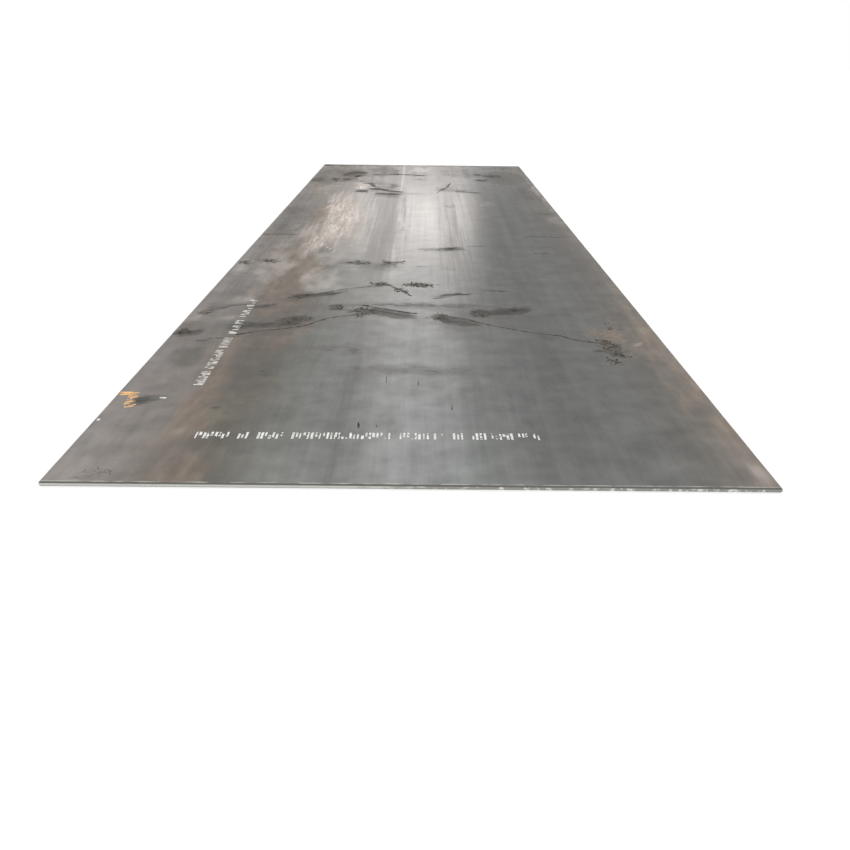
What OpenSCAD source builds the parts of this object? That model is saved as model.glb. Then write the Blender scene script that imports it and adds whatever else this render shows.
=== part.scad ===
// Hot-rolled steel plate, cut to length from wide strip.
// The long edges are mill edges, which the rolls left round.
// The ends are sheared, and are the two sides of one cut: each has a rim that the blade drew over,
// a smooth land that it rubbed and a torn slope, and one end has them in the opposite order.
// X runs across the plate, Y along the rolling direction and Z up. The origin is in the middle of the
// underside, and all sizes are in millimetres.

/* [Plate] */
// Length along the rolling direction, over both sheared ends
plate_length = 5800; // [1000:50:12000]
// Width across the rolling direction, over both mill edges
plate_width = 1810; // [600:5:3000]
// Thickness between the rolled faces
plate_thickness = 12; // [8:0.5:40]

/* [Mill edges] */
// How far a long edge stands out, at half height, beyond the rims of the rolled faces
mill_bulge = 3; // [0.5:0.25:4]

/* [Sheared ends] */
// Radius of the rim that the blade drew over
rim_radius = 1; // [0.25:0.25:1.5]
// Height of the smooth land that the blade rubbed
land_height = 5; // [1:0.5:6]
// How far the torn slope leans back from the land
tear_lean = 0.8; // [0.2:0.1:2]

/* [Hidden] */
$fn = 96;
half_length = plate_length / 2;
half_width = plate_width / 2;
half_thickness = plate_thickness / 2;
// The arc through both rims of a mill edge and its crown
mill_radius = (half_thickness ^ 2 + mill_bulge ^ 2) / (2 * mill_bulge);
// Height at which the land gives way to the tear, from the face with the drawn rim
tear_start = rim_radius + land_height;

// The rolled section, across the plate: flat faces between two round edges
module rolled_section() {
    intersection() {
        square([plate_width, plate_thickness], center = true);
        union() {
            square([plate_width - 2 * mill_bulge, plate_thickness], center = true);
            for (side = [-1, 1])
                translate([side * (half_width - mill_radius), 0])
                    circle(mill_radius);
        }
    }
}

// What the blade takes off the rim of one end: the corner outside a quarter circle
module drawn_rim() {
    difference() {
        square(2 * rim_radius, center = true);
        translate([-rim_radius, -rim_radius])
            circle(rim_radius);
    }
}

// The sheared profile, along the plate: the same end shape twice, turned by half a turn
module sheared_profile() {
    difference() {
        polygon([
            [half_length - tear_lean, -half_thickness],
            [half_length, half_thickness - tear_start],
            [half_length, half_thickness],
            [-half_length + tear_lean, half_thickness],
            [-half_length, tear_start - half_thickness],
            [-half_length, -half_thickness]
        ]);
        for (turn = [0, 180])
            rotate(turn)
                translate([half_length, half_thickness])
                    drawn_rim();
    }
}

// The plate is the stock that has both the rolled section and the sheared profile
module plate() {
    color("slategray")
        translate([0, 0, half_thickness])
            intersection() {
                rotate([90, 0, 0])
                    linear_extrude(plate_length, center = true)
                        rolled_section();
                rotate([90, 0, 90])
                    linear_extrude(plate_width, center = true)
                        sheared_profile();
            }
}

plate();
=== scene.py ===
import bpy
import math
import numpy as np
from mathutils import Matrix, Vector


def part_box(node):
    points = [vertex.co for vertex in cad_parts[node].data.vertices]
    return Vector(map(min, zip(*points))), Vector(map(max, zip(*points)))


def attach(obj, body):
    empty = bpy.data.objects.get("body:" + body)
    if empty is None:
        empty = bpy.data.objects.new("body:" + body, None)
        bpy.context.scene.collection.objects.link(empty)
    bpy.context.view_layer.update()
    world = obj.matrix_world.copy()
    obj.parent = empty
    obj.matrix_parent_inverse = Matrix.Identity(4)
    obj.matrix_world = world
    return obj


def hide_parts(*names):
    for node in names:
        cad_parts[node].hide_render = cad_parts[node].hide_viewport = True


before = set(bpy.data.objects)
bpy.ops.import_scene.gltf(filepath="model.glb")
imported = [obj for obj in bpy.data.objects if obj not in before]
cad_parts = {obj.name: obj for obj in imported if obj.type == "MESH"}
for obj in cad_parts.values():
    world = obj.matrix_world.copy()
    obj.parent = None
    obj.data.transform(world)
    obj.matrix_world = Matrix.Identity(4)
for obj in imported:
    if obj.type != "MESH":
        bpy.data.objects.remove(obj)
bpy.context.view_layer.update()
low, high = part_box("plate")
mm = 0.001
plateWidth = (high.x - low.x) / mm
plateLength = (high.y - low.y) / mm
plateThickness = (high.z - low.z) / mm
print("frame loaded, plate", round(plateWidth), "x", round(plateLength), "x", round(plateThickness, 1), "mm")


def linear(hexColour):
    parts = [int(hexColour[i:i + 2], 16) / 255 for i in (1, 3, 5)]
    return tuple(p / 12.92 if p <= 0.04045 else ((p + 0.055) / 1.055) ** 2.4 for p in parts) + (1.0,)


# Adds a node, sets its options and ramp stops, and links or sets its inputs by name or number. A node that
# is given as an input stands for its first output
def addNode(tree, kind, inputs=None, stops=None, **options):
    node = tree.nodes.new(kind)
    for name, value in options.items():
        setattr(node, name, value)
    for socket, source in (inputs or {}).items():
        if isinstance(source, bpy.types.Node):
            source = source.outputs[0]
        if isinstance(source, bpy.types.NodeSocket):
            tree.links.new(source, node.inputs[socket])
        else:
            node.inputs[socket].default_value = source
    if stops:
        ramp = node.color_ramp.elements
        ramp[0].position, ramp[0].color = stops[0]
        ramp[1].position, ramp[1].color = stops[-1]
        for position, colour in stops[1:-1]:
            ramp.new(position).color = colour
    return node


def newMaterial(name):
    material = bpy.data.materials.new(name)
    material.use_nodes = True
    material.node_tree.nodes.clear()
    return material, material.node_tree


# Smooth random field from -1 to 1 with the given cell size, from a table that repeats
def cloud(x, y, cellX, cellY, seed, cells=128):
    table = np.random.default_rng(seed).uniform(-1, 1, (cells, cells))
    u, v = np.asarray(x) / cellX, np.asarray(y) / cellY
    i, j = np.floor(u).astype(int), np.floor(v).astype(int)
    s, t = u - i, v - j
    s, t = s * s * (3 - 2 * s), t * t * (3 - 2 * t)

    def pick(a, b):
        return table[a % cells, b % cells]

    near = pick(i, j) * (1 - s) + pick(i + 1, j) * s
    far = pick(i, j + 1) * (1 - s) + pick(i + 1, j + 1) * s
    return near * (1 - t) + far * t


# Camera: eye in mm from the middle of the front end at floor level, angles in degrees
view = {
    "lens": 32.015,
    "sensor": 36.0,
    "eye": (25.2, -1582.7, 954.4),
    "yaw": 0.2406,
    "pitch": 26.2376,
    "roll": 0.6426,
    "clipEnd": 200,  # m
}


def makeCamera(v):
    camera = bpy.data.cameras.new("camera")
    camera.lens = v["lens"]
    camera.sensor_width = v["sensor"]
    camera.clip_end = v["clipEnd"]
    eye = bpy.data.objects.new("camera", camera)
    bpy.context.scene.collection.objects.link(eye)
    turn = Matrix.Rotation(-math.radians(v["yaw"]), 4, "Z")
    tip = Matrix.Rotation(math.radians(90 - v["pitch"]), 4, "X")
    lean = Matrix.Rotation(math.radians(v["roll"]), 4, "Z")
    x, y, z = v["eye"]
    eye.matrix_world = Matrix.Translation((x * mm, low.y + y * mm, z * mm)) @ turn @ tip @ lean
    bpy.context.scene.camera = eye


makeCamera(view)
print("camera set")

# Plate: edge sizes as on the solid, and the relief that rolling and shearing leave, all in mm. A cell is
# the size of a random dent or wave
plate = {
    "topPitch": (12, 16),  # across, along
    "endSplit": 3,  # end columns to each column of the top
    "millBulge": 3,
    "millRelief": 0.5,
    "millCell": (70, 5),  # along, up
    "rimRadius": 1,
    "rimSteps": (0, 0.3, 1),  # in shares of the radius
    "landHeight": 5,
    "tearLean": 0.8,
    "tearSteps": 5,
    "tearRelief": 0.35,
    "tearCell": (9, 3),  # across, up
    "flatWave": 0.4,
    "waveCell": (1100, 1500),  # across, along
    "waveStart": 5000,  # where on the random field the waves start
    "sharpAngle": 30,  # degrees
    "wanderX": [(14, 70, 90), (8, 30, 40)],  # how far the outlines of stains wander, and the cell of it
    "wanderY": [(16, 80, 80), (8, 30, 40)],
    "stainFall": 1.5,  # how steeply a stain fades out
    "crispFall": {"smear": 3.0},  # stains with a crisper outline
    "seed": 11,
}

# Stains on the top face, with some painted shade among them: x, y, how far they reach across and
# along, strength, and a turn in degrees where they lie askew
stains = {
    "brown": [  # rusty water marks
        (-640, 400, 50, 190, 0.8), (-560, 60, 65, 90, 0.6), (-655, 800, 50, 260, 0.5),
        (-560, 1010, 120, 150, 0.75), (-460, 1170, 110, 120, 0.6), (-540, 1430, 120, 170, 0.7),
        (-580, 1780, 90, 300, 0.85), (-870, 1150, 60, 200, 0.6), (-560, 2100, 120, 230, 0.6),
        (-630, 2420, 60, 400, 0.5), (-655, 3480, 55, 340, 0.85), (-770, 2350, 70, 240, 0.45),
        (-570, 5250, 90, 110, 1.0), (-650, 4880, 95, 90, 0.9), (-720, 4450, 110, 500, 0.45),
        (-850, 4800, 80, 600, 0.4), (885, 1500, 40, 2200, 0.3), (850, 700, 75, 800, 0.3),
        (670, 1110, 90, 80, 0.36), (770, 1060, 120, 190, 0.42), (745, 1180, 18, 130, 0.7, -14),
        (-800, 2760, 100, 60, 0.5), (-700, 2700, 270, 3400, 0.32), (-700, 5450, 330, 300, 0.4),
        (-300, 1500, 160, 250, 0.25), (-620, 5120, 100, 160, 0.7), (-540, 5000, 110, 130, 0.55),
    ],
    "olive": [  # thin film of oil
        (-530, 640, 105, 330, 0.9), (-480, 950, 60, 200, 0.4), (-850, 3650, 60, 170, 0.5),
        (780, 3750, 110, 260, 0.6), (-230, 4550, 60, 200, 0.5), (720, 5150, 190, 450, 0.8),
        (-778, 830, 64, 135, 0.6), (-650, 5520, 420, 300, 0.75), (-830, 4800, 130, 500, 0.5),
    ],
    "dust": [  # pale dust, and at (-20, 5480) a pale patch that lightens the middle of the far end
        (-800, 2450, 120, 300, 0.25), (-700, 2030, 100, 190, 0.4), (-640, 280, 24, 50, 0.2, -10),
        (-465, 2260, 80, 170, 0.45), (-380, 2850, 110, 720, 0.5), (-820, 3045, 110, 18, 0.35),
        (-860, 60, 90, 80, 0.35), (885, 420, 50, 430, 0.1), (885, 60, 36, 90, 0.4),
        (-720, 1680, 80, 160, 0.25), (-720, 4400, 110, 220, 0.4), (-860, 1230, 60, 70, 0.4),
        (-860, 2050, 60, 160, 0.5), (-720, 1260, 60, 50, 0.45), (840, 3250, 70, 160, 0.35),
        (-720, 1510, 60, 60, 0.4), (800, 1010, 60, 16, 0.5, 50), (770, 1060, 40, 14, 0.3, 30),
        (878, 1230, 14, 190, 0.25, -8), (850, 4400, 70, 220, 0.22), (-430, 1790, 110, 220, 0.6),
        (-500, 1960, 80, 200, 0.3), (-690, 2900, 80, 500, 0.25), (-20, 5480, 80, 180, 0.75),
        (420, 3800, 120, 300, 0.28), (-720, 1880, 60, 120, 0.35), (-640, 2120, 60, 100, 0.35),
        (885, 4200, 30, 900, 0.42), (-700, 2280, 70, 120, 0.45),
    ],
    "chalk": [  # dried haze along the rolling direction
        (-460, 4700, 110, 110, 0.4), (-460, 5050, 80, 150, 0.35), (-530, 2950, 95, 520, 0.5, 4),
        (-540, 3600, 105, 460, 0.5, 4), (-560, 4100, 150, 260, 0.45), (-460, 4600, 70, 200, 0.4),
        (-420, 3400, 120, 480, 0.42), (-490, 3600, 90, 300, 0.45), (-590, 2420, 70, 240, 0.35),
        (-655, 2880, 70, 280, 0.4), (-530, 2620, 90, 300, 0.25, 4), (-390, 2900, 110, 420, 0.3),
    ],
    "cream": [  # fine pale flecks in the haze
        (-555, 3300, 60, 420, 0.16, 5), (-470, 3480, 70, 300, 0.2, 5), (-490, 2920, 60, 260, 0.2, 5),
        (-570, 2620, 50, 220, 0.2, 4), (-600, 3820, 90, 260, 0.16, 6), (-415, 3350, 60, 300, 0.18),
        (-470, 4500, 60, 150, 0.18), (-470, 4980, 70, 110, 0.5), (-460, 4475, 75, 60, 0.5),
    ],
    "shade": [  # soft dark film, and painted shade where noted
        (-600, 1180, 300, 110, 0.65, 12), (-480, 1300, 220, 140, 0.4, 10), (60, 1440, 430, 60, 0.65),
        (360, 1400, 160, 85, 0.7, 10), (-500, 1590, 210, 90, 0.45, 20), (-800, 1090, 150, 140, 0.5),
        (-60, 742, 380, 55, 0.6), (-280, 930, 170, 80, 0.55), (-240, 400, 60, 160, 0.25),
        (170, 1225, 170, 80, 0.55, -20), (-120, 1325, 160, 80, 0.45, -20), (-780, 840, 68, 165, 0.85),
        (-100, 2960, 30, 95, 0.3), (120, 2440, 210, 62, 0.4, 10), (-835, 3030, 95, 320, 0.6),
        (-835, 3500, 95, 310, 0.8), (-820, 2790, 145, 60, 0.55), (-800, 2890, 125, 22, 0.5),
        (-810, 2975, 100, 20, 0.4), (-300, 2090, 260, 85, 0.35), (-600, 5250, 135, 155, 0.6),
        (-720, 4900, 140, 140, 0.6), (-60, 5180, 135, 85, 0.6), (-20, 4920, 90, 100, 0.55),
        (550, 5150, 165, 125, 0.55), (490, 4890, 85, 95, 0.5), (-350, 4400, 100, 105, 0.4),
        (-240, 4220, 170, 100, 0.35), (-450, 4310, 75, 95, 0.45), (0, 4240, 115, 52, 0.35),
        (300, 4330, 130, 85, 0.4, -15), (180, 4420, 80, 140, 0.4), (-240, 4550, 95, 155, 0.45),
        (-380, 5160, 85, 85, 0.5), (-320, 5450, 120, 320, 0.95), (700, 5020, 190, 420, 1.0),
        (710, 4950, 90, 160, 0.4), (-780, 5000, 220, 420, 0.85), (-810, 5000, 110, 190, 0.6),
        # painted shade: the last two patches below dim the right half of the far end, where the window's
        # reflection is dimmer
        (-545, 800, 115, 360, 0.8), (330, 5350, 260, 380, 0.65), (330, 4560, 200, 230, 0.4),
        (170, 620, 34, 160, 0.45), (150, 1200, 90, 260, 0.45), (-700, 5500, 300, 260, 0.25),
        # painted shade: the first patch below darkens a strip along the far rim
        (0, 5740, 905, 66, 0.95), (800, 3460, 70, 70, 0.5), (-500, 5030, 140, 240, 0.85),
        (-870, 900, 60, 160, 0.4), (-700, 1200, 70, 90, 0.5), (-820, 1430, 110, 40, 0.5, 18),
        (-560, 1120, 150, 40, 0.6, 20), (-430, 1570, 150, 36, 0.4, 22), (-150, 2050, 60, 120, 0.35),
        (80, 2080, 160, 60, 0.3), (340, 1675, 130, 50, 0.4, -8), (130, 1600, 130, 50, 0.35, 22),
        (-200, 1740, 110, 70, 0.4, 20), (690, 930, 110, 150, 0.35), (-400, 1400, 170, 60, 0.5, 15),
        (-480, 1510, 90, 60, 0.55, 15), (310, 1260, 200, 110, 0.75, -12), (-640, 1400, 80, 60, 0.5),
        (-800, 1390, 60, 60, 0.6), (-240, 4110, 110, 110, 0.5), (-620, 5110, 90, 140, 0.5),
        (-440, 4790, 90, 110, 0.5), (-480, 4880, 60, 140, 0.4), (-340, 4700, 90, 90, 0.45),
        (-290, 5270, 130, 160, 0.7), (-730, 1140, 50, 60, 0.4),
    ],
    "streak": [  # dark streaks along the rolling direction, one of them painted shade
        (-205, 600, 30, 700, 0.4), (-205, 3500, 80, 1200, 0.72), (-190, 2900, 60, 350, 0.5),
        # painted shade: the middle patch below, at x 195, dims the reflection along a long strip
        (-250, 2600, 60, 420, 0.35), (195, 2400, 95, 1600, 0.5), (-160, 2450, 60, 550, 0.45),
        (850, 2250, 75, 560, 0.9), (-280, 4850, 95, 850, 0.7), (640, 4750, 130, 480, 0.85),
        (-800, 2850, 70, 900, 0.5), (-800, 1680, 60, 150, 0.6), (-240, 3950, 110, 250, 0.5),
        (-235, 4900, 75, 650, 0.6), (-740, 3450, 90, 300, 0.4), (-270, 3300, 90, 800, 0.3),
        (-230, 2100, 65, 340, 0.65), (-150, 3900, 45, 700, 0.35), (600, 4500, 90, 280, 0.5),
        (720, 4000, 60, 200, 0.5), (430, 1100, 60, 900, 0.3), (-92, 3250, 26, 900, 0.42, 1),
    ],
    "smear": [  # crisp dark smears
        (-105, 1335, 112, 48, 0.95, -26), (162, 1245, 106, 46, 0.95, -24), (385, 1390, 100, 44, 0.7, 15),
        (-395, 1610, 105, 24, 0.7, 28), (-545, 1185, 130, 30, 0.5, 16), (150, 1597, 92, 20, 0.6, 22),
        (-798, 505, 50, 22, 0.95), (-822, 494, 34, 30, 0.85, -10),
    ],
    "dark": [  # ragged grime
        (-806, 492, 44, 28, 0.85, -8), (-825, 470, 34, 30, 0.7), (-60, 742, 330, 45, 0.25),
        (-280, 930, 120, 80, 0.3), (-205, 560, 26, 400, 0.22), (-500, 690, 32, 42, 0.35),
        (-580, 420, 18, 14, 0.6), (240, 420, 80, 60, 0.25), (-862, 1096, 62, 40, 0.95, 8),
        (-845, 1328, 48, 45, 0.7, 8), (-800, 1390, 55, 42, 0.5, 10), (-330, 1380, 70, 24, 0.45, 12),
        (-655, 1172, 64, 42, 0.75, 22), (-476, 1252, 72, 40, 0.9, 22), (-560, 1190, 140, 55, 0.45, 18),
        (-330, 1420, 28, 36, 0.75), (-230, 1350, 55, 60, 0.6, 20), (-105, 1335, 112, 40, 0.35, -26),
        (160, 1245, 108, 40, 0.35, -24), (90, 1300, 30, 55, 0.65), (265, 1350, 50, 45, 0.8, 10),
        (365, 1385, 110, 50, 0.65, 15), (320, 1375, 120, 34, 0.7, 22), (20, 1452, 380, 28, 0.45),
        (-640, 1424, 62, 34, 0.8, 20), (-740, 1420, 50, 22, 0.75, 14), (-490, 1560, 62, 45, 0.7, 15),
        (-440, 1580, 110, 28, 0.45, 24), (-380, 1620, 85, 30, 0.5, 30), (-180, 1760, 52, 40, 0.55, 15),
        (-85, 1675, 112, 16, 0.75, -54), (0, 1760, 90, 46, 0.6, -8), (150, 1600, 98, 20, 0.75, 22),
        (340, 1675, 58, 30, 0.7, -10), (430, 1650, 62, 26, 0.3, -20), (700, 950, 52, 75, 0.65),
        (680, 840, 26, 38, 0.55), (680, 1030, 36, 22, 0.6), (60, 2452, 74, 38, 0.45, 12),
        (185, 2475, 72, 46, 0.5, 15), (170, 2462, 16, 20, 0.9), (330, 2520, 62, 26, 0.6, -15),
        (-860, 2130, 48, 26, 0.75, -55), (-740, 2170, 72, 42, 0.6, -10), (-290, 2150, 72, 45, 0.55, 5),
        (-150, 2155, 30, 60, 0.5, 20), (-95, 2170, 30, 35, 0.4), (30, 2090, 62, 25, 0.3),
        (-350, 2140, 62, 14, 0.4, 3), (-790, 2778, 120, 14, 0.9), (-840, 3000, 70, 130, 0.35),
        (-850, 3480, 60, 140, 0.4), (-100, 2960, 20, 65, 0.2), (200, 3720, 50, 80, 0.25),
        (710, 2778, 150, 20, 1.0), (645, 2385, 62, 24, 0.9), (800, 3470, 70, 45, 0.8),
        (430, 2300, 60, 50, 0.25), (-235, 4188, 110, 34, 0.95, -6), (-205, 4305, 78, 34, 0.9, -22),
        (-275, 4362, 40, 34, 0.85, -30), (-340, 4400, 52, 58, 0.95), (-445, 4310, 46, 58, 0.9),
        (-380, 4600, 28, 120, 0.7, 12), (-430, 4680, 52, 52, 0.7), (-560, 5270, 95, 75, 0.8, 10),
        (-625, 5150, 45, 95, 0.75), (-712, 4890, 38, 65, 0.95), (-605, 4890, 38, 65, 0.85),
        (-525, 5060, 24, 75, 0.8), (-475, 5050, 20, 65, 0.6), (-380, 5160, 46, 52, 0.5),
        (-60, 5160, 110, 34, 0.95, -12), (-210, 5182, 80, 30, 0.8), (-60, 5110, 26, 42, 0.5),
        (-20, 4920, 42, 55, 0.35), (40, 4950, 16, 52, 0.35), (490, 4890, 52, 68, 0.8, 10),
        (480, 5210, 42, 52, 0.7), (600, 5140, 90, 75, 0.75, -10), (300, 4330, 60, 52, 0.45),
        (400, 4280, 62, 46, 0.5), (208, 4620, 14, 125, 0.5, -4), (168, 4420, 16, 95, 0.5, -16),
        (-850, 4850, 60, 130, 0.55), (-790, 45, 52, 20, 0.42, 14), (-764, 60, 24, 10, 0.5),
        (-842, 26, 20, 9, 0.3, 14), (-850, 5730, 70, 60, 0.7), (-720, 5720, 60, 50, 0.45),
    ],
}


# How far the faces stand above their flat place, in mm
def waveHeight(x, y):
    wave = cloud(np.asarray(x) + plate["waveStart"], y, *plate["waveCell"], plate["seed"] + 2)
    return plate["flatWave"] / 2 * (1 + wave)


# Point on the top face, x from its middle and y from its front end, in mm
def onPlate(x, y, height=0.0):
    return Vector((x * mm, low.y + y * mm, high.z + (height + float(waveHeight(x, y))) * mm))


# How far a mill edge stands out from the rims at height z
def millOut(p, z):
    half = plateThickness / 2
    radius = (half ** 2 + p["millBulge"] ** 2) / (2 * p["millBulge"])
    return np.sqrt(radius ** 2 - (z - half) ** 2) - radius + p["millBulge"]


# How far the front end falls back at height z: drawn rim, land, torn slope
def shearIn(p, z):
    tearStart = p["rimRadius"] + p["landHeight"]
    if z < p["rimRadius"]:
        return p["rimRadius"] - math.sqrt(p["rimRadius"] ** 2 - (p["rimRadius"] - z) ** 2)
    return p["tearLean"] * max(0.0, z - tearStart) / (plateThickness - tearStart)


def makePlateMesh(p):
    nx, ny = (round(side / pitch) for side, pitch in zip((plateWidth, plateLength), p["topPitch"]))
    nf = nx * p["endSplit"]
    around = 2 * (nf + ny)
    tearStart = p["rimRadius"] + p["landHeight"]
    rim = [share * p["rimRadius"] for share in p["rimSteps"]]
    tear = list(np.linspace(tearStart, plateThickness, p["tearSteps"]))
    steps = rim + [p["rimRadius"] + p["landHeight"] / 2] + tear
    levels = sorted(set(np.round(steps + [plateThickness - z for z in steps], 3)))

    places, land = [], []
    for z in levels:
        front, back = shearIn(p, z), plateLength - shearIn(p, plateThickness - z)
        half = plateWidth / 2 - p["millBulge"] + millOut(p, z)
        along = np.linspace(front, back, ny + 1)
        across = np.linspace(-half, half, nf + 1)
        mill = p["millRelief"] * cloud(along, along * 0 + z, *p["millCell"], p["seed"])
        x = np.concatenate([across[:-1], half + mill[:-1], across[::-1][:-1], -half - mill[::-1][:-1]])
        torn = p["tearRelief"] * (1 + cloud(across, across * 0 + z, *p["tearCell"], p["seed"] + 1))
        rough = torn * min(1.0, max(0.0, z - tearStart))
        roughBack = torn * min(1.0, max(0.0, plateThickness - z - tearStart))
        y = np.concatenate([front + rough[:-1], along[:-1], back - roughBack[::-1][:-1], along[::-1][:-1]])
        places.append(np.stack([x, y, np.full(around, z)], 1))
        onLand = np.zeros(around)
        onLand[:nf] = p["rimRadius"] <= z <= tearStart
        onLand[nf + ny:2 * nf + ny] = p["rimRadius"] <= plateThickness - z <= tearStart
        land.append(onLand)

    half = plateWidth / 2 - p["millBulge"]
    gridX, gridY = np.meshgrid(np.linspace(-half, half, nx + 1)[1:-1],
                               np.linspace(0, plateLength, ny + 1)[1:-1], indexing="ij")
    places.append(np.stack([gridX.ravel(), gridY.ravel(), np.full(gridX.size, plateThickness)], 1))
    land.append(np.zeros(gridX.size))
    places, land = np.concatenate(places), np.concatenate(land)
    topRing, topInner = (len(levels) - 1) * around, len(levels) * around

    # Index of a point of the top grid, on the ring of its rim or inside it
    def topPoint(ix, iy):
        if 0 < ix < nx and 0 < iy < ny:
            return topInner + (ix - 1) * (ny - 1) + iy - 1
        if iy == 0:
            return topRing + (p["endSplit"] * ix) % around
        if ix == nx:
            return topRing + nf + iy
        if iy == ny:
            return topRing + nf + ny + p["endSplit"] * (nx - ix)
        return topRing + (2 * nf + ny + ny - iy) % around

    faces, isEnd = [], []
    for k in range(len(levels) - 1):
        for i in range(around):
            j = (i + 1) % around
            faces.append((k * around + i, k * around + j, (k + 1) * around + j, (k + 1) * around + i))
            isEnd.append(i < nf or nf + ny <= i < 2 * nf + ny)
    for ix in range(nx):
        for iy in range(ny):
            front = [topPoint(ix, iy), topPoint(ix + 1, iy)]
            back = [topPoint(ix + 1, iy + 1), topPoint(ix, iy + 1)]
            if iy == 0:
                front = [topRing + (p["endSplit"] * ix + s) % around for s in range(p["endSplit"] + 1)]
            if iy == ny - 1:
                first = topRing + nf + ny + p["endSplit"] * (nx - ix - 1)
                back = [first + s for s in range(p["endSplit"] + 1)]
            faces.append(tuple(front + back))
    # The underside is plain: one strip from edge to edge for each row
    for iy in range(ny):
        front = [(2 * nf + 2 * ny - iy) % around, nf + iy]
        back = [nf + iy + 1, (2 * nf + 2 * ny - iy - 1) % around]
        if iy == 0:
            front = list(range(nf + 1))
        if iy == ny - 1:
            back = list(range(nf + ny, 2 * nf + ny + 1))
        faces.append(tuple((front + back)[::-1]))
    isEnd += [False] * (len(faces) - len(isEnd))

    lift = waveHeight(places[:, 0], places[:, 1])
    solid = np.stack([places[:, 0] * mm, low.y + places[:, 1] * mm, (places[:, 2] + lift) * mm], 1)
    mesh = bpy.data.meshes.new("steel_plate")
    mesh.from_pydata(solid.tolist(), [], faces)
    mesh.polygons.foreach_set("material_index", np.array(isEnd, np.int32))
    mesh.shade_smooth()
    mesh.set_sharp_from_angle(angle=math.radians(p["sharpAngle"]))

    isTop = np.zeros(len(places), bool)
    isTop[topRing:] = True
    fields = {"land": land, **paintStains(p, places[:, 0], places[:, 1], isTop)}
    for name, values in fields.items():
        mesh.attributes.new(name, "FLOAT", "POINT").data.foreach_set("value", values.astype(np.float32))
    return mesh


# Strength of each stain at the points of the top face, with wandering outlines
def paintStains(p, x, y, isTop):
    wandered = []
    seed = p["seed"] + 3
    for straight, wanders in ((x, p["wanderX"]), (y, p["wanderY"])):
        for amount, cellX, cellY in wanders:
            straight = straight + amount * cloud(x, y, cellX, cellY, seed)
            seed += 1
        wandered.append(straight)
    fields = {}
    for name, patches in stains.items():
        clean = np.ones(len(x))
        fall = p["crispFall"].get(name, p["stainFall"])
        for px, py, reach, spread, strength, *turn in patches:
            angle = math.radians(turn[0]) if turn else 0.0
            c, s = math.cos(angle), math.sin(angle)
            awayX, awayY = wandered[0] - px, wandered[1] - py
            u = (awayX * c + awayY * s) / reach
            v = (awayY * c - awayX * s) / spread
            clean *= 1 - strength * np.exp(-(u * u + v * v) ** fall)
        fields[name] = (1 - clean) * isTop
    return fields


plateMesh = makePlateMesh(plate)
plateObject = bpy.data.objects.new("steel_plate", plateMesh)
bpy.context.scene.collection.objects.link(plateObject)
print("plate mesh", len(plateMesh.polygons), "faces")

# Hot-rolled steel under mill scale: a thin grey oxide skin, semi-gloss, banded along the rolling
# direction, cooler in the middle and browner towards the edges where water lay
scale = {
    "bands": [  # x in mm, colour
        (-905, "#99938f"), (-720, "#8e8781"), (-590, "#766e65"), (-500, "#6d6a61"), (-350, "#878783"),
        (-200, "#818280"), (-120, "#929391"), (-20, "#9b9d9c"), (100, "#909291"), (190, "#7b7d7b"),
        (320, "#7a7b79"), (430, "#6d6e6c"), (640, "#757573"), (790, "#74706a"), (850, "#837b73"),
        (905, "#8e857c"),
    ],
    "tones": [  # across mm, along mm, detail, how much it lightens or darkens
        (7, 130, 2, 0.10), (24, 600, 2, 0.14), (60, 4000, 2, 0.18), (140, 120, 3, 0.38), (50, 60, 4, 0.26),
        (330, 70, 1, 0.07), (4, 6, 2, 0.04),
    ],
    "metallic": 0.55,
    "roughness": 0.13,
    "polish": {"x": 25, "from": 110, "to": 190, "gain": 0.03},  # smoother strip along the middle
    "glossStreak": (40, 2600, 0.14),  # across mm, along mm, change in roughness
    # pale strip along the front end of the top face: a painted highlight where the burr catches the light
    "rimGlint": {"from": 3, "to": 7, "patch": (45, 12), "bare": (0.42, 0.56), "cover": 0.75,
                   "colour": "#cfcdc8"},
    # polished roll line: a real mark whose pale colour is partly painted reflection of the bright window
    "rollMarkGlint": {"x": -132, "drift": -0.0095, "width": 20, "strength": 0.8, "colour": "#cecdca",
                 "fadeIn": (-1.2, 0.3)},  # along the plate from its middle, in m
    "grain": {"patch": (3, 5), "strength": 0.12, "depth": 0.3},  # fine relief of the scale
    "stainEdge": (0.1, 0.75),  # above the middle of its ragged noise, where a stain starts and is full
    "stainStart": (0.02, 0.2),  # strengths between which a stain comes in
    "stainBlend": (0.35, 0.65),  # noise between a stain's two colours
}

# Two colours of each stain, size of its ragged patches in mm, their detail, how ragged it is, how much it
# covers and how dull it is
stainLooks = {
    "olive": {"colours": ("#656153", "#544f43"), "patch": (34, 70), "detail": 3,
              "ragged": 1.0, "cover": 0.75, "dull": 0.15},
    "brown": {"colours": ("#806e5c", "#5e5044"), "patch": (30, 110), "detail": 2.5,
              "ragged": 1.0, "cover": 0.7, "dull": 0.22},
    "dust": {"colours": ("#c0b8b0", "#aba39a"), "patch": (60, 140), "detail": 2,
             "ragged": 0.8, "cover": 0.6, "dull": 0.2},
    "chalk": {"colours": ("#dacec5", "#b6a69b"), "patch": (22, 360), "detail": 3,
              "ragged": 0.9, "cover": 0.68, "dull": 0.2},
    "cream": {"colours": ("#eee5db", "#ded3c8"), "patch": (8, 90), "detail": 2,
              "ragged": 2.2, "cover": 0.9, "dull": 0.4},
    "shade": {"colours": ("#4a4743", "#3d3a37"), "patch": (110, 60), "detail": 2,
              "ragged": 0.9, "cover": 0.58, "dull": 0.25},
    "streak": {"colours": ("#4c4945", "#413e3b"), "patch": (16, 700), "detail": 3,
               "ragged": 1.2, "cover": 0.55, "dull": 0.12},
    "smear": {"colours": ("#403f3b", "#54524d"), "patch": (26, 9), "detail": 3,
              "ragged": 0.6, "cover": 0.8, "dull": 0.35},
    "dark": {"colours": ("#32312e", "#4d4a45"), "patch": (34, 14), "detail": 4,
             "ragged": 1.35, "cover": 0.82, "dull": 0.5},
}


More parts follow.
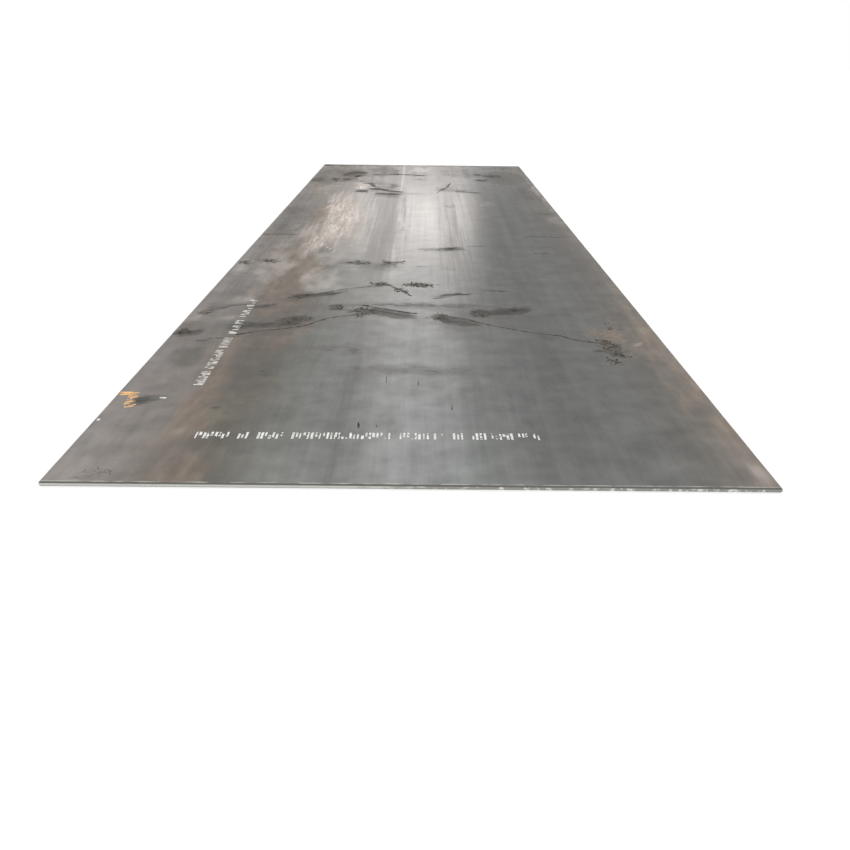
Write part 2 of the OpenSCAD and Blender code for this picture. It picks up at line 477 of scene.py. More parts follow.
# Noise that is stretched to a patch size in mm, and starts at another place for each seed
def patchNoise(tree, place, across, along, seed, detail=3.0, roughness=0.55):
    spread = addNode(tree, "ShaderNodeMapping", {
        "Vector": place, "Location": (seed * 7.31, seed * 3.17, seed),
        "Scale": (1 / (across * mm), 1 / (along * mm), 1 / (across * mm))})
    return addNode(tree, "ShaderNodeTexNoise", {
        "Vector": spread, "Scale": 1.0, "Detail": detail, "Roughness": roughness}).outputs["Fac"]


def makeMillScale(s):
    material, tree = newMaterial("hot_rolled_mill_scale")
    place = addNode(tree, "ShaderNodeTexCoord").outputs["Object"]
    axes = addNode(tree, "ShaderNodeSeparateXYZ", {0: place}).outputs
    across = addNode(tree, "ShaderNodeMapRange", {
        0: axes[0], 1: -plateWidth / 2 * mm, 2: plateWidth / 2 * mm})
    ramp = addNode(tree, "ShaderNodeValToRGB", {0: across},
                   stops=[(x / plateWidth + 0.5, linear(colour)) for x, colour in s["bands"]])
    tone = 1 - sum(amount for *_, amount in s["tones"])
    for seed, (wide, long, detail, amount) in enumerate(s["tones"]):
        grain = patchNoise(tree, place, wide, long, seed + 1, detail)
        tone = addNode(tree, "ShaderNodeMath", {0: grain, 1: 2 * amount, 2: tone},
                       operation="MULTIPLY_ADD")
    colour = addNode(tree, "ShaderNodeHueSaturation", {"Value": tone, "Color": ramp})

    # Polished line that one spot of the roll left along the plate, clearer towards the far end; its pale
    # colour is partly painted reflection of the bright window
    mark = s["rollMarkGlint"]
    drift = addNode(tree, "ShaderNodeMath", {0: axes[1], 1: -mark["drift"], 2: -mark["x"] * mm},
                    operation="MULTIPLY_ADD")
    offset = addNode(tree, "ShaderNodeMath", {0: axes[0], 1: drift}, operation="ADD")
    offset = addNode(tree, "ShaderNodeMath", {0: offset}, operation="ABSOLUTE")
    onMarkGlint = addNode(tree, "ShaderNodeMapRange", {
        0: offset, 1: 0.0, 2: mark["width"] * mm, 3: mark["strength"], 4: 0.0},
        interpolation_type="SMOOTHSTEP")
    start, end = mark["fadeIn"]
    fade = addNode(tree, "ShaderNodeMapRange", {0: axes[1], 1: start, 2: end})
    onMarkGlint = addNode(tree, "ShaderNodeMath", {0: onMarkGlint, 1: fade}, operation="MULTIPLY")
    colour = addNode(tree, "ShaderNodeMix", {0: onMarkGlint, 6: colour, 7: linear(mark["colour"])},
                     data_type="RGBA").outputs[2]

    wide, long, change = s["glossStreak"]
    dullness = addNode(tree, "ShaderNodeMath", {
        0: patchNoise(tree, place, wide, long, seed=21), 1: 2 * change, 2: s["roughness"] - change},
        operation="MULTIPLY_ADD")
    polish = s["polish"]
    away = addNode(tree, "ShaderNodeMath", {0: axes[0], 1: polish["x"] * mm}, operation="SUBTRACT")
    away = addNode(tree, "ShaderNodeMath", {0: away}, operation="ABSOLUTE")
    matt = addNode(tree, "ShaderNodeMapRange", {
        0: away, 1: polish["from"] * mm, 2: polish["to"] * mm, 3: -polish["gain"], 4: 0.0})
    dullness = addNode(tree, "ShaderNodeMath", {0: dullness, 1: matt}, operation="ADD")
    metal = s["metallic"]
    edgeStart, edgeFull = s["stainEdge"]
    fieldStart, fieldFull = s["stainStart"]
    blendStart, blendFull = s["stainBlend"]
    for seed, (name, look) in enumerate(stainLooks.items()):
        field = addNode(tree, "ShaderNodeAttribute", attribute_name=name).outputs["Fac"]
        ragged = patchNoise(tree, place, *look["patch"], seed + 31, look["detail"])
        edge = addNode(tree, "ShaderNodeMath", {0: ragged, 1: look["ragged"], 2: field},
                       operation="MULTIPLY_ADD")
        middle = look["ragged"] / 2
        cover = addNode(tree, "ShaderNodeMapRange", {
            0: edge, 1: middle + edgeStart, 2: middle + edgeFull, 3: 0.0, 4: look["cover"]},
            interpolation_type="SMOOTHSTEP")
        inside = addNode(tree, "ShaderNodeMapRange", {0: field, 1: fieldStart, 2: fieldFull})
        cover = addNode(tree, "ShaderNodeMath", {0: cover, 1: inside}, operation="MULTIPLY")
        blend = addNode(tree, "ShaderNodeMapRange", {
            0: patchNoise(tree, place, *look["patch"], seed + 41, detail=2.0),
            1: blendStart, 2: blendFull})
        light, deep = (linear(colourHex) for colourHex in look["colours"])
        film = addNode(tree, "ShaderNodeMix", {0: blend, 6: light, 7: deep}, data_type="RGBA").outputs[2]
        colour = addNode(tree, "ShaderNodeMix", {0: cover, 6: colour, 7: film}, data_type="RGBA").outputs[2]
        dullness = addNode(tree, "ShaderNodeMath", {0: cover, 1: look["dull"], 2: dullness},
                           operation="MULTIPLY_ADD")
        bare = addNode(tree, "ShaderNodeMath", {0: 1.0, 1: cover}, operation="SUBTRACT")
        metal = addNode(tree, "ShaderNodeMath", {0: bare, 1: metal}, operation="MULTIPLY")

    # Painted highlight: a pale strip along the front end of the top face, standing in for the burr catching
    # the light
    rim = s["rimGlint"]
    glintStart, glintFull = rim["bare"]
    onRim = addNode(tree, "ShaderNodeMapRange", {
        0: axes[1], 1: low.y + rim["from"] * mm, 2: low.y + rim["to"] * mm, 3: rim["cover"], 4: 0.0})
    glintPatches = addNode(tree, "ShaderNodeMapRange", {
        0: patchNoise(tree, place, *rim["patch"], seed=48, detail=4.0), 1: glintStart, 2: glintFull})
    onRim = addNode(tree, "ShaderNodeMath", {0: onRim, 1: glintPatches}, operation="MULTIPLY")
    colour = addNode(tree, "ShaderNodeMix", {0: onRim, 6: colour, 7: linear(rim["colour"])},
                     data_type="RGBA").outputs[2]

    grain = s["grain"]
    bump = addNode(tree, "ShaderNodeBump", {
        "Strength": grain["strength"], "Distance": grain["depth"] * mm,
        "Height": patchNoise(tree, place, *grain["patch"], seed=49, detail=4.0)})
    shader = addNode(tree, "ShaderNodeBsdfPrincipled", {
        "Base Color": colour, "Metallic": metal, "Roughness": dullness, "Normal": bump})
    addNode(tree, "ShaderNodeOutputMaterial", {"Surface": shader})
    return material


# Sheared steel: a bright burnished land beside a dull torn slope; on the right it is rougher and flecked,
# and the land is painted darker there as painted shade
sheared = {
    "land": "#c6c6c2",
    "torn": "#6f6d68",
    "fleck": "#dcdcd8",
    "shadedRoughFrom": -130,
    "shadedRoughTo": 30,
    "ragged": (25, 400),  # patch of the noise, and how far it shifts the start of the rough, shaded part
    "shadedLand": 0.4,  # how bright the land is on the right, where it is rough and painted as in shade
    "fleckPatch": (14, 6),
    "fleckNoise": (0.52, 0.62),
    "metallic": 0.8,
    "roughness": (0.6, 0.35),  # torn, land
    "grain": {"patch": (1.5, 6), "strength": 0.4, "depth": 0.4},
}


def makeShearedSteel(s):
    material, tree = newMaterial("sheared_steel")
    place = addNode(tree, "ShaderNodeTexCoord").outputs["Object"]
    axes = addNode(tree, "ShaderNodeSeparateXYZ", {0: place}).outputs
    land = addNode(tree, "ShaderNodeAttribute", attribute_name="land").outputs["Fac"]
    patch, shift = s["ragged"]
    ragged = patchNoise(tree, place, patch, patch, seed=51)
    reach = addNode(tree, "ShaderNodeMath", {0: ragged, 1: shift * mm, 2: axes[0]},
                    operation="MULTIPLY_ADD")
    start, end = ((x + shift / 2) * mm for x in (s["shadedRoughFrom"], s["shadedRoughTo"]))
    rough = addNode(tree, "ShaderNodeMapRange", {0: reach, 1: start, 2: end})
    # painted shade: the land dims towards the right, where the front end lies in shade
    landLit = addNode(tree, "ShaderNodeMapRange", {0: reach, 1: start, 2: end, 3: 1.0, 4: s["shadedLand"]})
    bright = addNode(tree, "ShaderNodeMath", {0: land, 1: landLit}, operation="MULTIPLY")
    colour = addNode(tree, "ShaderNodeMix", {0: bright, 6: linear(s["torn"]), 7: linear(s["land"])},
                     data_type="RGBA").outputs[2]
    flecks = patchNoise(tree, place, *s["fleckPatch"], seed=52)
    start, end = s["fleckNoise"]
    fleck = addNode(tree, "ShaderNodeMapRange", {0: flecks, 1: start, 2: end})
    fleck = addNode(tree, "ShaderNodeMath", {0: fleck, 1: rough}, operation="MULTIPLY")
    fleck = addNode(tree, "ShaderNodeMath", {0: fleck, 1: land}, operation="MULTIPLY")
    colour = addNode(tree, "ShaderNodeMix", {0: fleck, 6: colour, 7: linear(s["fleck"])},
                     data_type="RGBA").outputs[2]
    torn, smooth = s["roughness"]
    dullness = addNode(tree, "ShaderNodeMapRange", {0: bright, 3: torn, 4: smooth})
    grain = s["grain"]
    bump = addNode(tree, "ShaderNodeBump", {
        "Strength": grain["strength"], "Distance": grain["depth"] * mm,
        "Height": patchNoise(tree, place, *grain["patch"], seed=53)})
    shader = addNode(tree, "ShaderNodeBsdfPrincipled", {
        "Base Color": colour, "Metallic": s["metallic"], "Roughness": dullness, "Normal": bump})
    addNode(tree, "ShaderNodeOutputMaterial", {"Surface": shader})
    return material


plateMesh.materials.append(makeMillScale(scale))
plateMesh.materials.append(makeShearedSteel(sheared))
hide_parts("plate")
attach(plateObject, "root")
print("plate materials set")


# Runs a node tree on a mesh and keeps the result as a plain mesh
def runNodes(name, mesh, tree, values):
    piece = bpy.data.objects.new(name, mesh)
    bpy.context.scene.collection.objects.link(piece)
    modifier = piece.modifiers.new("nodes", "NODES")
    modifier.node_group = tree
    sockets = {item.name: item.identifier for item in tree.interface.items_tree if item.in_out == "INPUT"}
    for label, value in values.items():
        modifier[sockets[label]] = value
    made = bpy.data.meshes.new_from_object(piece.evaluated_get(bpy.context.evaluated_depsgraph_get()))
    piece.modifiers.remove(modifier)
    piece.data = made
    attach(piece, "root")
    print(name, len(made.polygons), "faces")


# Node tree with a mesh, sizes and a material as its inputs
def newTree(name, sizes, material):
    tree = bpy.data.node_groups.new(name, "GeometryNodeTree")
    tree.interface.new_socket("Geometry", in_out="INPUT", socket_type="NodeSocketGeometry")
    for label in sizes:
        tree.interface.new_socket(label, in_out="INPUT", socket_type="NodeSocketFloat")
    tree.interface.new_socket(material, in_out="INPUT", socket_type="NodeSocketMaterial")
    tree.interface.new_socket("Geometry", in_out="OUTPUT", socket_type="NodeSocketGeometry")
    return tree, addNode(tree, "NodeGroupInput").outputs


# Random shift along the face, with so many ripples to a metre
def flatShift(tree, place, ripples, amount, detail):
    noise = addNode(tree, "ShaderNodeTexNoise", {"Vector": place, "Scale": ripples, "Detail": detail})
    shift = addNode(tree, "ShaderNodeVectorMath", {0: noise.outputs["Color"], 1: (0.5, 0.5, 0.5)},
                    operation="SUBTRACT")
    shift = addNode(tree, "ShaderNodeVectorMath", {0: shift, 1: (1.0, 1.0, 0.0)}, operation="MULTIPLY")
    return addNode(tree, "ShaderNodeVectorMath", {0: shift, "Scale": amount}, operation="SCALE")


# Matt film in two colours that run into each other in patches
def makeMatt(name, colours, f):
    material, tree = newMaterial(name)
    place = addNode(tree, "ShaderNodeTexCoord").outputs["Object"]
    patches = patchNoise(tree, place, f["patch"], f["patch"], f["seed"], detail=5.0)
    start, end = f["mix"]
    mixed = addNode(tree, "ShaderNodeMapRange", {0: patches, 1: start, 2: end})
    first, second = (linear(colour) for colour in colours)
    colour = addNode(tree, "ShaderNodeMix", {0: mixed, 6: first, 7: second}, data_type="RGBA")
    shader = addNode(tree, "ShaderNodeBsdfPrincipled", {
        "Base Color": colour.outputs[2], "Roughness": f["roughness"], "Specular IOR Level": f["specular"]})
    addNode(tree, "ShaderNodeOutputMaterial", {"Surface": shader})
    return material


# Paint marks, in mm: rows of worn plain bars, and loose strokes as x, y, length, width, turn in degrees.
# Sprayed marking paint is a thin matt film, uneven in colour where the scale shows through
paint = {
    "film": 0.15,
    "gap": 0.05,
    "bar": (5.0, 38.0),  # thickness, height
    "barPitch": 10.5,
    "barShift": 1,
    "barSpread": (0.8, 1.5),  # of its thickness
    "barWorn": (0.35, 0.8),  # what is left of the height of a worn bar
    "wornShare": 0.45,
    "barGap": 2,  # bars left out at a gap
    "rows": [  # start, turn, height against the bar's, bars, share lost at the far end, where gaps come
        {"start": (-590, 254), "turn": 0.5, "size": 1.0, "bars": 90, "lost": 0.1,
         "gaps": (9, 14, 23, 51, 70)},
        {"start": (-679, 600), "turn": 90.5, "size": 0.8, "bars": 87, "lost": 0.45,
         "gaps": (11, 30, 43, 62)},
    ],
    "dabs": [(-757, 498, 20, 9, -8), (-892, 344, 9, 12, 0)],
    "smear": [
        (-880, 534, 34, 13, 0), (-862, 531, 44, 12, -4), (-880, 519, 30, 9, 4), (-852, 517, 28, 8, 10),
        (-849, 501, 30, 10, 14), (-857, 486, 22, 8, 20), (-846, 469, 30, 12, 24), (-852, 452, 16, 6, 24),
        (-838, 434, 27, 12, 34), (-826, 446, 10, 6, 34),
    ],
    "grid": (5, 9),  # points of a stroke along its length and width
    "frays": 130,  # to a metre
    "holes": 55,  # to a metre
    "seam": 0.02,  # points closer than this are merged
    "white": {"piece": "white_marks", "material": "white_marking_paint", "colours": ("#e6e6e1", "#a9a8a3"),
              "wear": 0.6, "fray": 3},
    "orange": {"piece": "orange_smear", "material": "orange_marking_paint",
               "colours": ("#efbf80", "#c68d48"), "wear": 0.56, "fray": 5},
    "finish": {"patch": 12, "mix": (0.42, 0.68), "roughness": 0.65, "specular": 0.5, "seed": 61},
    "seed": 5,
}


def markStrokes(p):
    draw = np.random.default_rng(p["seed"])
    thick, height = p["bar"]
    strokes = []
    for row in p["rows"]:
        turn = math.radians(row["turn"])
        skipped = {gap + step for gap in row["gaps"] for step in range(p["barGap"])}
        for i in range(row["bars"]):
            whole = height * row["size"]
            tall = whole * (draw.uniform(*p["barWorn"]) if draw.random() < p["wornShare"] else 1.0)
            shift = draw.choice((-1, 1)) * (whole - tall) / 2
            if draw.random() < row["lost"] * i / row["bars"] or i in skipped:
                continue
            u = i * p["barPitch"] + draw.uniform(-p["barShift"], p["barShift"])
            x = row["start"][0] + u * math.cos(turn) - shift * math.sin(turn)
            y = row["start"][1] + u * math.sin(turn) + shift * math.cos(turn)
            strokes.append((x, y, thick * draw.uniform(*p["barSpread"]), tall, row["turn"]))
    return strokes


def strokeMesh(name, strokes):
    mesh = bpy.data.meshes.new(name)
    mesh.from_pydata([onPlate(x, y, paint["gap"]) for x, y, *_ in strokes], [], [])
    sizes = np.array([(long * mm, wide * mm, 1.0) for _, _, long, wide, _ in strokes], np.float32)
    turns = np.array([math.radians(turn) for *_, turn in strokes], np.float32)
    mesh.attributes.new("strokeSize", "FLOAT_VECTOR", "POINT").data.foreach_set("vector", sizes.ravel())
    mesh.attributes.new("strokeTurn", "FLOAT", "POINT").data.foreach_set("value", turns)
    return mesh


# Lays a thin film at each stroke, frays its outline and wears holes in it
def makePaintTree(p):
    tree, given = newTree("paint_film", ("Film", "Wear", "Fray"), "Paint")
    size = addNode(tree, "GeometryNodeInputNamedAttribute", {"Name": "strokeSize"}, data_type="FLOAT_VECTOR")
    turn = addNode(tree, "GeometryNodeInputNamedAttribute", {"Name": "strokeTurn"}, data_type="FLOAT")
    lean = addNode(tree, "ShaderNodeCombineXYZ", {2: turn})
    pointsX, pointsY = p["grid"]
    patch = addNode(tree, "GeometryNodeMeshGrid", {"Vertices X": pointsX, "Vertices Y": pointsY})
    laid = addNode(tree, "GeometryNodeInstanceOnPoints", {
        "Points": given["Geometry"], "Instance": patch, "Rotation": lean, "Scale": size})
    real = addNode(tree, "GeometryNodeRealizeInstances", {0: laid})
    place = addNode(tree, "GeometryNodeInputPosition")
    shift = flatShift(tree, place, p["frays"], given["Fray"], detail=2.0)
    frayed = addNode(tree, "GeometryNodeSetPosition", {"Geometry": real, "Offset": shift})
    holes = addNode(tree, "ShaderNodeTexNoise", {"Vector": place, "Scale": p["holes"], "Detail": 4.0})
    gone = addNode(tree, "FunctionNodeCompare", {0: holes.outputs["Fac"], 1: given["Wear"]},
                   operation="GREATER_THAN")
    worn = addNode(tree, "GeometryNodeDeleteGeometry", {0: frayed, 1: gone}, domain="FACE")
    under = addNode(tree, "GeometryNodeFlipFaces", {0: worn})
    raised = addNode(tree, "GeometryNodeExtrudeMesh", {
        0: worn, "Offset Scale": given["Film"], "Individual": False})
    both = addNode(tree, "GeometryNodeJoinGeometry", {0: raised})
    tree.links.new(under.outputs[0], both.inputs[0])
    closed = addNode(tree, "GeometryNodeMergeByDistance", {0: both, "Distance": p["seam"] * mm})
    whole = addNode(tree, "GeometryNodeRealizeInstances", {0: closed})
    done = addNode(tree, "GeometryNodeSetMaterial", {0: whole, "Material": given["Paint"]})
    addNode(tree, "NodeGroupOutput", {0: done})
    return tree


paintTree = makePaintTree(paint)
strokes = {"white": markStrokes(paint) + paint["dabs"], "orange": paint["smear"]}
for colour in ("white", "orange"):
    look = paint[colour]
    runNodes(look["piece"], strokeMesh(look["piece"], strokes[colour]), paintTree, {
        "Film": paint["film"] * mm, "Wear": look["wear"], "Fray": look["fray"] * mm,
        "Paint": makeMatt(look["material"], look["colours"], paint["finish"])})

# Crusts of any kind, in mm. Dried mud, oil and clay are matt, in two tones where they are thick and thin
crust = {
    "margin": 14,  # kept clear along the edges
    "points": (3, 6),  # of a short crust, the second not reached
    "bend": 1.3,  # most turn at a point, in radians
    "widths": (0.6, 1.3),  # of a short crust, against those of its patch
    "sweepStep": 5,
    "wander": 8,
    "wanders": 28,  # to a metre
    "bulges": 60,  # to a metre
    "bulgeNoise": (0.35, 0.65),
    "reach": (0.2, 0.6),  # of the sweep to each side, in shares of the width
    "sides": 6,
    "flat": 0.12,  # height against width
    "finish": {"patch": 40, "mix": (0.35, 0.65), "roughness": 0.85, "specular": 0.1, "seed": 71},
}

# Dried dirt: traces where puddles dried, as width and points, and patches of short crooked crusts
dirt = {
    "piece": "dried_dirt",
    "material": "dried_mud",
    "colours": ("#35322d", "#534b42"),
    "traces": [
        (11, [(-665, 1070), (-600, 1105), (-520, 1135), (-450, 1165), (-410, 1195), (-395, 1225),
              (-350, 1270), (-300, 1300), (-240, 1310)]),
        (8, [(-795, 1000), (-760, 1005), (-745, 1030), (-700, 1030)]),
        (10, [(105, 1320), (150, 1300), (200, 1275), (240, 1240), (290, 1200), (350, 1170), (420, 1130),
              (490, 1105), (540, 1090), (570, 1055), (620, 1030), (670, 1015)]),
        (13, [(-215, 1440), (-190, 1425), (-100, 1380), (-40, 1355), (0, 1340)]),
        (7, [(-190, 1385), (-110, 1345), (-20, 1295)]), (7, [(80, 1275), (170, 1230), (250, 1195)]),
        (9, [(-550, 1545), (-450, 1590), (-420, 1615), (-320, 1680), (-260, 1705), (-215, 1730),
             (-150, 1775)]),
        (9, [(-150, 1775), (-110, 1720), (-60, 1650), (-35, 1600), (-25, 1580)]),
        (10, [(65, 1550), (110, 1565), (140, 1590), (180, 1610), (240, 1630)]),
        (7, [(290, 1690), (360, 1680), (420, 1655)]), (6, [(-152, 304), (-155, 343)]),
        (4, [(-102, 312), (-104, 330)]), (3, [(-90, 630), (-92, 680)]), (3, [(12, 615), (12, 650)]),
        (3, [(112, 430), (114, 470)]), (7, [(-396, 5156), (-320, 5175), (-250, 5190)]),
        (12, [(-250, 5190), (-190, 5180), (-135, 5170), (-20, 5139), (40, 5130)]),
        (9, [(121, 4275), (158, 4375), (208, 4550), (233, 4725)]),
        (10, [(-429, 4725), (-395, 4620), (-341, 4500)]),
        (12, [(-386, 4388), (-329, 4414), (-268, 4360), (-208, 4310), (-128, 4281)]),
        (12, [(-340, 4216), (-282, 4198), (-224, 4172), (-125, 4179)]),
        (6, [(-125, 4179), (-60, 4190), (-7, 4203)]), (10, [(-491, 4330), (-450, 4300), (-404, 4340)]),
        (9, [(460, 5200), (540, 5160), (640, 5140)]), (9, [(446, 4880), (500, 4900), (546, 4940)]),
        (8, [(-729, 4930), (-705, 4860), (-685, 4760)]), (8, [(-640, 5300), (-580, 5260), (-500, 5290)]),
        (7, [(585, 2772), (700, 2778), (780, 2774), (850, 2780)]),
        (6, [(580, 2384), (640, 2388), (700, 2385)]),
    ],
    "patches": [  # x, y, half width, half length, crusts, width
        (-225, 1350, 52, 50, 34, 6.5), (-200, 1420, 30, 25, 8, 7), (95, 1295, 28, 44, 24, 6.5),
        (0, 1760, 66, 28, 56, 6.5), (-60, 1660, 30, 40, 10, 8), (265, 1350, 44, 32, 18, 6.5),
        (710, 940, 50, 80, 46, 5), (680, 840, 22, 30, 10, 5), (680, 1030, 34, 18, 12, 6),
        (740, 1150, 24, 100, 16, 3), (-872, 1105, 22, 24, 16, 6.5), (-478, 1252, 62, 30, 26, 5.5),
        (-330, 1420, 22, 26, 8, 8), (-840, 1325, 36, 40, 8, 6), (-745, 2170, 54, 26, 24, 7),
        (-860, 2130, 22, 32, 12, 7.5), (-290, 2150, 64, 34, 18, 7), (-150, 2155, 26, 50, 14, 7),
        (-95, 2170, 26, 28, 8, 7), (-480, 1560, 50, 30, 16, 6.5), (-800, 40, 26, 10, 5, 2.2),
        (-764, 60, 20, 7, 6, 2.4), (170, 2462, 14, 14, 6, 9), (-530, 5060, 70, 70, 14, 9),
        (-520, 5170, 80, 120, 16, 10), (-870, 5730, 30, 45, 22, 10), (-170, 1765, 36, 18, 10, 8),
        (400, 1400, 50, 30, 8, 7),
    ],
    "step": 10,  # from point to point of a short crust
    "seed": 23,
}

clay = {
    "piece": "dried_clay",
    "material": "dried_clay",
    "colours": ("#e4dcd1", "#c6bcaf"),
    "traces": [(6, [(-500, 2480), (-470, 2440), (-480, 2400)])],
    "patches": [
        (-545, 2560, 40, 100, 9, 5), (-530, 3000, 50, 280, 16, 5), (-530, 3450, 60, 320, 16, 5),
        (-470, 4700, 50, 320, 14, 6), (-468, 4960, 62, 110, 34, 6), (-460, 4474, 60, 36, 16, 6),
        (-880, 5640, 8, 40, 6, 8),
    ],
    "step": 12,
    "seed": 29,
}


def crustMesh(d, c):
    draw = np.random.default_rng(d["seed"])
    lines = list(d["traces"])
    reach = np.array([plateWidth / 2 - plate["millBulge"] - c["margin"], plateLength / 2 - c["margin"]])
    middle = np.array([0, plateLength / 2])
    for x, y, rx, ry, crusts, wide in d["patches"]:
        for _ in range(crusts):
            angle, away = draw.uniform(0, 2 * math.pi), math.sqrt(draw.random())
            spot = np.array([x + rx * away * math.cos(angle), y + ry * away * math.sin(angle)])
            heading = draw.uniform(0, 2 * math.pi)
            points = []
            for _ in range(draw.integers(*c["points"])):
                points.append(tuple(np.clip(spot - middle, -reach, reach) + middle))
                heading += draw.uniform(-c["bend"], c["bend"])
                spot = spot + d["step"] * np.array([math.cos(heading), math.sin(heading)])
            lines.append((wide * draw.uniform(*c["widths"]), points))
    places, edges, widths = [], [], []
    for width, points in lines:
        first = len(places)
        places += [onPlate(x, y) for x, y in points]
        edges += [(first + i, first + i + 1) for i in range(len(points) - 1)]
        widths += [width * mm] * len(points)
    mesh = bpy.data.meshes.new(d["piece"])
    mesh.from_pydata(places, edges, [])
    values = np.array(widths, np.float32)
    mesh.attributes.new("crustWidth", "FLOAT", "POINT").data.foreach_set("value", values)
    return mesh


# Sweeps a flat crust of uneven width along each line
def makeCrustTree(c):
    tree, given = newTree("dirt_crust", ("Step", "Wander", "Level", "Flat"), "Dirt")
    width = addNode(tree, "GeometryNodeInputNamedAttribute", {"Name": "crustWidth"}, data_type="FLOAT")
    place = addNode(tree, "GeometryNodeInputPosition")
    line = addNode(tree, "GeometryNodeMeshToCurve", {0: given["Geometry"]})
    fine = addNode(tree, "GeometryNodeResampleCurve", {0: line, "Length": given["Step"]}, mode="LENGTH")
    shift = flatShift(tree, place, c["wanders"], given["Wander"], detail=4.0)
    crooked = addNode(tree, "GeometryNodeSetPosition", {"Geometry": fine, "Offset": shift})
    noise = addNode(tree, "ShaderNodeTexNoise", {"Vector": place, "Scale": c["bulges"], "Detail": 2.0})
    start, end = c["bulgeNoise"]
    narrow, broad = c["reach"]
    uneven = addNode(tree, "ShaderNodeMapRange", {
        0: noise.outputs["Fac"], 1: start, 2: end, 3: narrow, 4: broad})
    reach = addNode(tree, "ShaderNodeMath", {0: width, 1: uneven}, operation="MULTIPLY")
    section = addNode(tree, "GeometryNodeCurvePrimitiveCircle", {"Resolution": c["sides"], "Radius": 1.0})
    swept = addNode(tree, "GeometryNodeCurveToMesh", {
        "Curve": crooked, "Profile Curve": section, "Scale": reach, "Fill Caps": True})
    axes = addNode(tree, "ShaderNodeSeparateXYZ", {0: place}).outputs
    rise = addNode(tree, "ShaderNodeMath", {0: axes[2], 1: given["Level"]}, operation="SUBTRACT")
    rise = addNode(tree, "ShaderNodeMath", {0: rise, 1: given["Flat"], 2: given["Level"]},
                   operation="MULTIPLY_ADD")
    pressed = addNode(tree, "ShaderNodeCombineXYZ", {0: axes[0], 1: axes[1], 2: rise})
    flat = addNode(tree, "GeometryNodeSetPosition", {"Geometry": swept, "Position": pressed})
    whole = addNode(tree, "GeometryNodeRealizeInstances", {0: flat})
    done = addNode(tree, "GeometryNodeSetMaterial", {0: whole, "Material": given["Dirt"]})
    addNode(tree, "NodeGroupOutput", {0: done})
    return tree


crustTree = makeCrustTree(crust)
for kind in (dirt, clay):
    runNodes(kind["piece"], crustMesh(kind, crust), crustTree, {
        "Step": crust["sweepStep"] * mm, "Wander": crust["wander"] * mm, "Flat": crust["flat"],
        "Level": high.z + plate["flatWave"] / 2 * mm,
        "Dirt": makeMatt(kind["material"], kind["colours"], crust["finish"])})

# Stage: white floor under a white dome. Beyond the far end the dome has a darker belt above the horizon,
# with one bright window in it, and the belt widens with height. Levels are by sine of height, and the
# window's sides by bearing in radians
stage = {
    "floorSize": 120.0,
    "floor": "#f8f8f7",
    "dome": [(0.0, 1.0), (0.26, 1.0), (0.36, 0.6), (0.5, 0.66), (0.66, 1.38), (1.0, 1.42)],
    "belt": [
        (0.0, 1.0), (0.058, 1.0), (0.068, 0.92), (0.085, 0.55), (0.102, 0.3), (0.12, 0.22), (0.17, 0.27),
        (0.25, 0.36), (0.34, 0.41), (0.46, 0.55), (0.53, 0.76), (0.66, 1.38), (1.0, 1.42),
    ],
    "beltSides": [  # in shares of its half width
        (-2.2, 0.0), (-1.8, 0.1), (-1.4, 0.45), (-1.1, 0.88), (-0.95, 1.0), (0.95, 1.0), (1.1, 0.88),
        (1.4, 0.45), (1.8, 0.1), (2.2, 0.0),
    ],
    "beltHalf": (0.06, 0.99),  # half width in radians, at the horizon and for each unit of sine
    "window": [
        (0.07, 0.0), (0.1, 0.14), (0.132, 0.36), (0.145, 0.52), (0.157, 0.9), (0.18, 1.32), (0.2, 1.22),
        (0.225, 0.9), (0.25, 0.62), (0.29, 0.47), (0.39, 0.22), (0.52, 0.08), (0.62, 0.0),
    ],
    "windowSides": [(-0.135, 0.0), (-0.07, 1.0), (0.068, 1.0), (0.075, 0.0)],
    "windowTint": "#fff5f0",
}


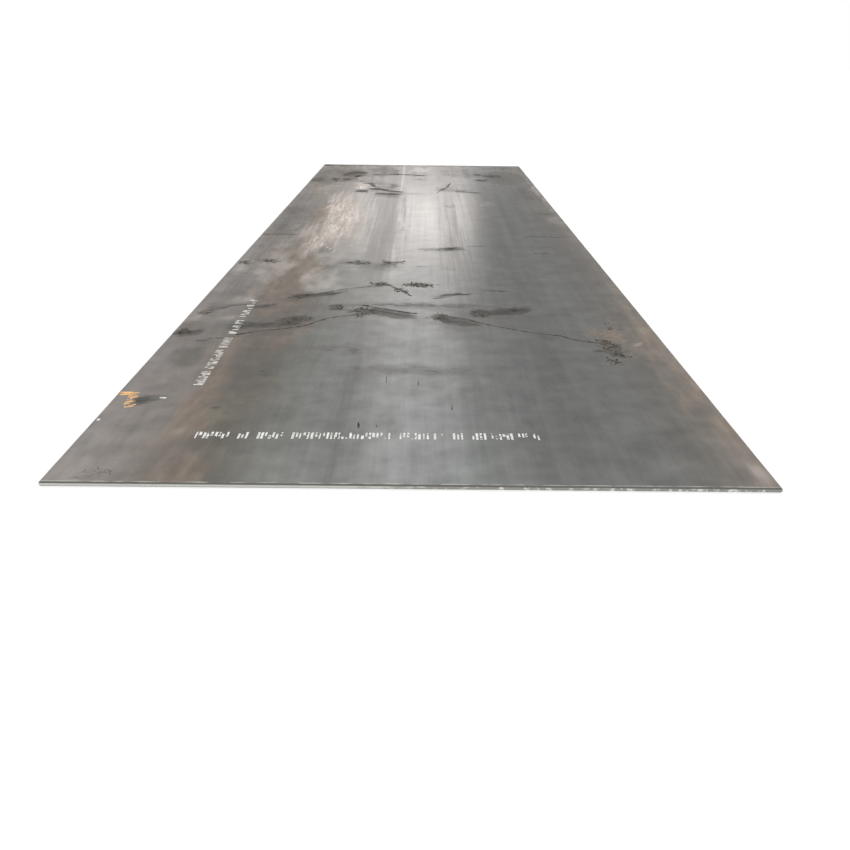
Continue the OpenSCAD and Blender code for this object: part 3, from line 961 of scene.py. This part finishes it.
def makeStage(s):
    edge = s["floorSize"] / 2
    corners = [(-edge, -edge, 0), (edge, -edge, 0), (edge, edge, 0), (-edge, edge, 0)]
    mesh = bpy.data.meshes.new("floor")
    mesh.from_pydata(corners, [], [(0, 1, 2, 3)])
    floor = bpy.data.objects.new("floor", mesh)
    bpy.context.scene.collection.objects.link(floor)
    material, tree = newMaterial("matt_white_floor")
    shader = addNode(tree, "ShaderNodeBsdfDiffuse", {"Color": linear(s["floor"])})
    addNode(tree, "ShaderNodeOutputMaterial", {"Surface": shader})
    mesh.materials.append(material)

    world = bpy.data.worlds.new("studio_dome")
    bpy.context.scene.world = world
    world.use_nodes = True
    tree = world.node_tree
    tree.nodes.clear()
    direction = addNode(tree, "ShaderNodeTexCoord").outputs["Generated"]
    axes = addNode(tree, "ShaderNodeSeparateXYZ", {0: direction}).outputs
    bearing = addNode(tree, "ShaderNodeMath", {0: axes[0], 1: axes[1]}, operation="ARCTAN2")
    narrow, widening = s["beltHalf"]
    half = addNode(tree, "ShaderNodeMath", {0: axes[2], 1: widening, 2: narrow}, operation="MULTIPLY_ADD")
    share = addNode(tree, "ShaderNodeMath", {0: bearing, 1: half}, operation="DIVIDE")
    turns = {"beltSides": share, "windowSides": bearing}
    peak = max(level for name in ("dome", "belt", "window") for _, level in s[name])
    levels = {}
    for name in ("dome", "belt", "window"):
        levels[name] = addNode(tree, "ShaderNodeValToRGB", {0: axes[2]}, stops=[
            (sine, (level / peak, level / peak, level / peak, 1.0)) for sine, level in s[name]])
    for name, side in turns.items():
        turn = addNode(tree, "ShaderNodeMapRange", {0: side, 1: -math.pi, 2: math.pi})
        levels[name] = addNode(tree, "ShaderNodeValToRGB", {0: turn}, stops=[
            (angle / (2 * math.pi) + 0.5, (level, level, level, 1.0)) for angle, level in s[name]])
    ground = addNode(tree, "ShaderNodeMix", {0: levels["beltSides"], 6: levels["dome"], 7: levels["belt"]},
                     data_type="RGBA").outputs[2]
    sky = addNode(tree, "ShaderNodeBackground", {"Color": ground, "Strength": peak})
    glow = addNode(tree, "ShaderNodeMath", {0: levels["window"], 1: levels["windowSides"]},
                   operation="MULTIPLY")
    glow = addNode(tree, "ShaderNodeMath", {0: glow, 1: peak}, operation="MULTIPLY")
    lit = addNode(tree, "ShaderNodeBackground", {"Color": linear(s["windowTint"]), "Strength": glow})
    both = addNode(tree, "ShaderNodeAddShader", {0: sky, 1: lit})
    addNode(tree, "ShaderNodeOutputWorld", {"Surface": both})


makeStage(stage)
bpy.context.scene.view_settings.view_transform = "Standard"
print("stage and light set")
